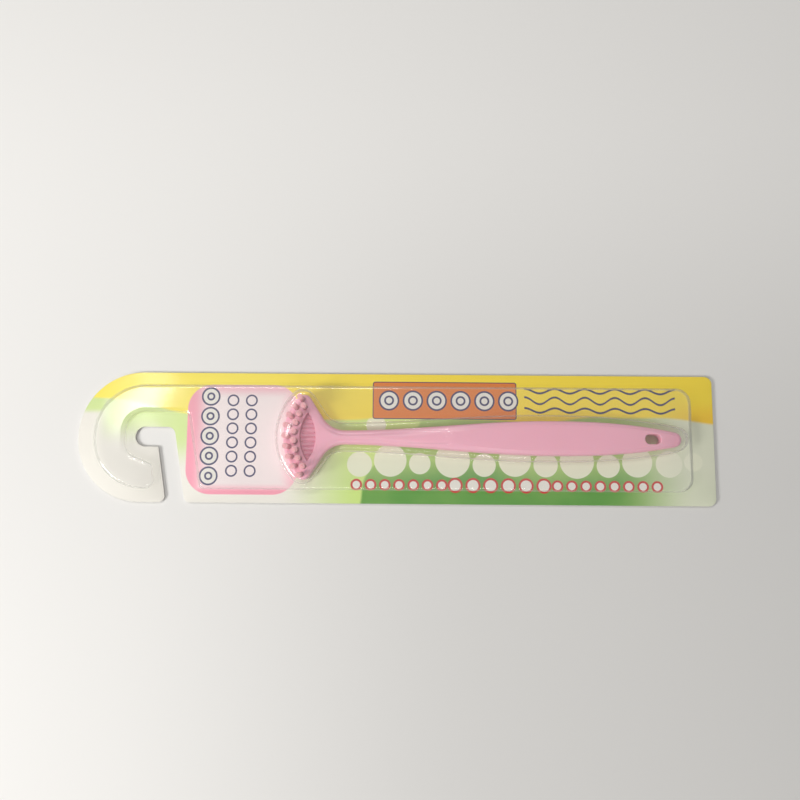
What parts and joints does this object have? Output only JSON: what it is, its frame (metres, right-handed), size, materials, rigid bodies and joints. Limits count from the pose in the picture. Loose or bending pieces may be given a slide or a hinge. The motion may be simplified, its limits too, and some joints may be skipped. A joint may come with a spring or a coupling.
{
  "type": "tongue brush",
  "caption": "Tongue brush with a crescent head of bristle tufts, a ribbed recess and a flat-topped grip, in a clear blister on a printed hanging card.",
  "frame": {"origin": "middle of the card's back, on the plane that the pack lies on", "axes": "+X towards the tail of the brush, -X towards the hook end, +Z from the card up to the blister"},
  "size_m": [0.2206, 0.0456, 0.0116],
  "materials": {
    "printed_card": "white board, satin print in yellow, green, pink and orange on the front, plain back",
    "clear_blister": "clear thermoformed sheet, glossy, seen through",
    "pink_plastic": "moulded pink plastic, satin gloss",
    "nylon_bristle": "translucent pale nylon",
    "anchor_metal": "drawn flat wire"
  },
  "bodies": {
    "card": {"backing_card": "printed_card"},
    "blister": {"blister_shell": "clear_blister"},
    "brush": {"brush_handle": "pink_plastic", "tuft_01": "nylon_bristle", "tuft_02": "nylon_bristle", "tuft_03": "nylon_bristle", "tuft_04": "nylon_bristle", "tuft_05": "nylon_bristle", "tuft_06": "nylon_bristle", "tuft_07": "nylon_bristle", "tuft_08": "nylon_bristle", "tuft_09": "nylon_bristle", "tuft_10": "nylon_bristle", "tuft_11": "nylon_bristle", "tuft_12": "nylon_bristle", "tuft_13": "nylon_bristle", "tuft_14": "nylon_bristle", "tuft_15": "nylon_bristle", "tuft_16": "nylon_bristle", "tuft_17": "nylon_bristle", "tuft_anchor_01": "anchor_metal", "tuft_anchor_02": "anchor_metal", "tuft_anchor_03": "anchor_metal", "tuft_anchor_04": "anchor_metal", "tuft_anchor_05": "anchor_metal", "tuft_anchor_06": "anchor_metal", "tuft_anchor_07": "anchor_metal", "tuft_anchor_08": "anchor_metal", "tuft_anchor_09": "anchor_metal", "tuft_anchor_10": "anchor_metal", "tuft_anchor_11": "anchor_metal", "tuft_anchor_12": "anchor_metal", "tuft_anchor_13": "anchor_metal", "tuft_anchor_14": "anchor_metal", "tuft_anchor_15": "anchor_metal", "tuft_anchor_16": "anchor_metal", "tuft_anchor_17": "anchor_metal"}
  },
  "joints": [
    {"name": "blister_peel", "type": "hinge", "parent": "card", "child": "blister", "pos_m": [-0.11, 0, 0.00075], "axis": [0, -1, 0], "range_deg": [0, 100]},
    {"name": "brush_lift", "type": "slide", "parent": "card", "child": "brush", "axis": [0, 0, 1], "range_m": [0, 0.02]}
  ],
  "couplings": [
    {"joint": "brush_lift", "follows": "blister_peel", "m_per_rad": 0.01145}
  ]
}
